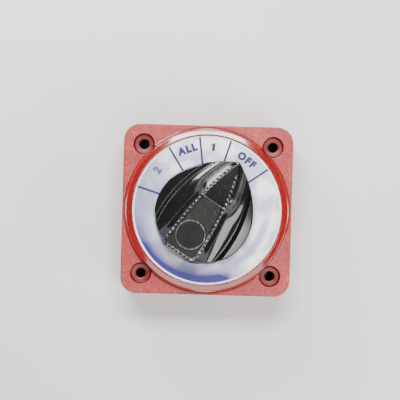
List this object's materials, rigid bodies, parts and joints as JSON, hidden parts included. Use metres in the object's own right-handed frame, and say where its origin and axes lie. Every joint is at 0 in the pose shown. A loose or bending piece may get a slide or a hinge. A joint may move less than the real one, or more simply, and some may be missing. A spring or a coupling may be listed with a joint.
{
  "type": "battery switch",
  "caption": "Marine battery selector switch: deep square red housing, round dial, pointer knob turning through four positions, terminal base with threaded cable studs.",
  "frame": {"origin": "on the knob's axis, in the plane of the surface that the housing is screwed to", "axes": "+Z out of the dial face along the knob's axis, +Y to the top of the dial, +X to the right of the dial"},
  "size_m": [0.1334, 0.1334, 0.0667],
  "materials": {
    "red_plastic": "glossy moulded red, with a finely stippled face plate",
    "black_plastic": "glossy moulded black",
    "satin_black": "satin black moulding with fine scratches",
    "base_black": "matt black thermoset moulding",
    "label": "printed dial, pale lavender fading to deep blue, white rim and navy lettering",
    "rotor_plastic": "natural cream nylon",
    "rubber": "black rubber",
    "copper": "bare copper",
    "brass": "machined brass",
    "steel": "stainless steel"
  },
  "bodies": {
    "housing": {"front_housing": "red_plastic", "dial_label": "label", "shaft_seal": "rubber", "terminal_base": "base_black", "base_gasket": "rubber", "fixed_contact_1": "copper", "fixed_contact_2": "copper", "fixed_contact_common": "copper", "stud_1": "brass", "retaining_nut_1": "brass", "flat_washer_1": "brass", "lock_washer_1": "steel", "terminal_nut_1": "brass", "stud_2": "brass", "retaining_nut_2": "brass", "flat_washer_2": "brass", "lock_washer_2": "steel", "terminal_nut_2": "brass", "stud_common": "brass", "retaining_nut_common": "brass", "flat_washer_common": "brass", "lock_washer_common": "steel", "terminal_nut_common": "brass", "base_screw_1": "steel", "base_screw_2": "steel", "base_screw_3": "steel", "base_screw_4": "steel"},
    "knob": {"knob": "black_plastic", "knob_cover": "satin_black", "lock_blank_plug": "satin_black", "knob_screw": "steel", "rotor": "rotor_plastic", "contact_spring": "steel", "detent_spring_1": "steel", "detent_spring_2": "steel"},
    "moving_contact": {"moving_contact": "copper"},
    "detent_ball_1": {"detent_ball_1": "steel"},
    "detent_ball_2": {"detent_ball_2": "steel"}
  },
  "joints": [
    {"name": "knob_turn", "type": "hinge", "parent": "housing", "child": "knob", "pos_m": [0, 0, 0], "axis": [0, 0, 1], "range_deg": [0, 86]},
    {"name": "contact_float", "type": "slide", "parent": "knob", "child": "moving_contact", "axis": [0, 0, 1], "range_m": [0, 0.0012], "stiffness_N_per_m": 3000, "springref_m": -0.002, "deforming": ["contact_spring"]},
    {"name": "detent_1_slide", "type": "slide", "parent": "knob", "child": "detent_ball_1", "axis": [-0.6428, 0.766, 0], "range_m": [0, 0.0008], "stiffness_N_per_m": 800, "springref_m": 0.002},
    {"name": "detent_2_slide", "type": "slide", "parent": "knob", "child": "detent_ball_2", "axis": [0.6428, -0.766, 0], "range_m": [0, 0.0008], "stiffness_N_per_m": 800, "springref_m": 0.002}
  ]
}
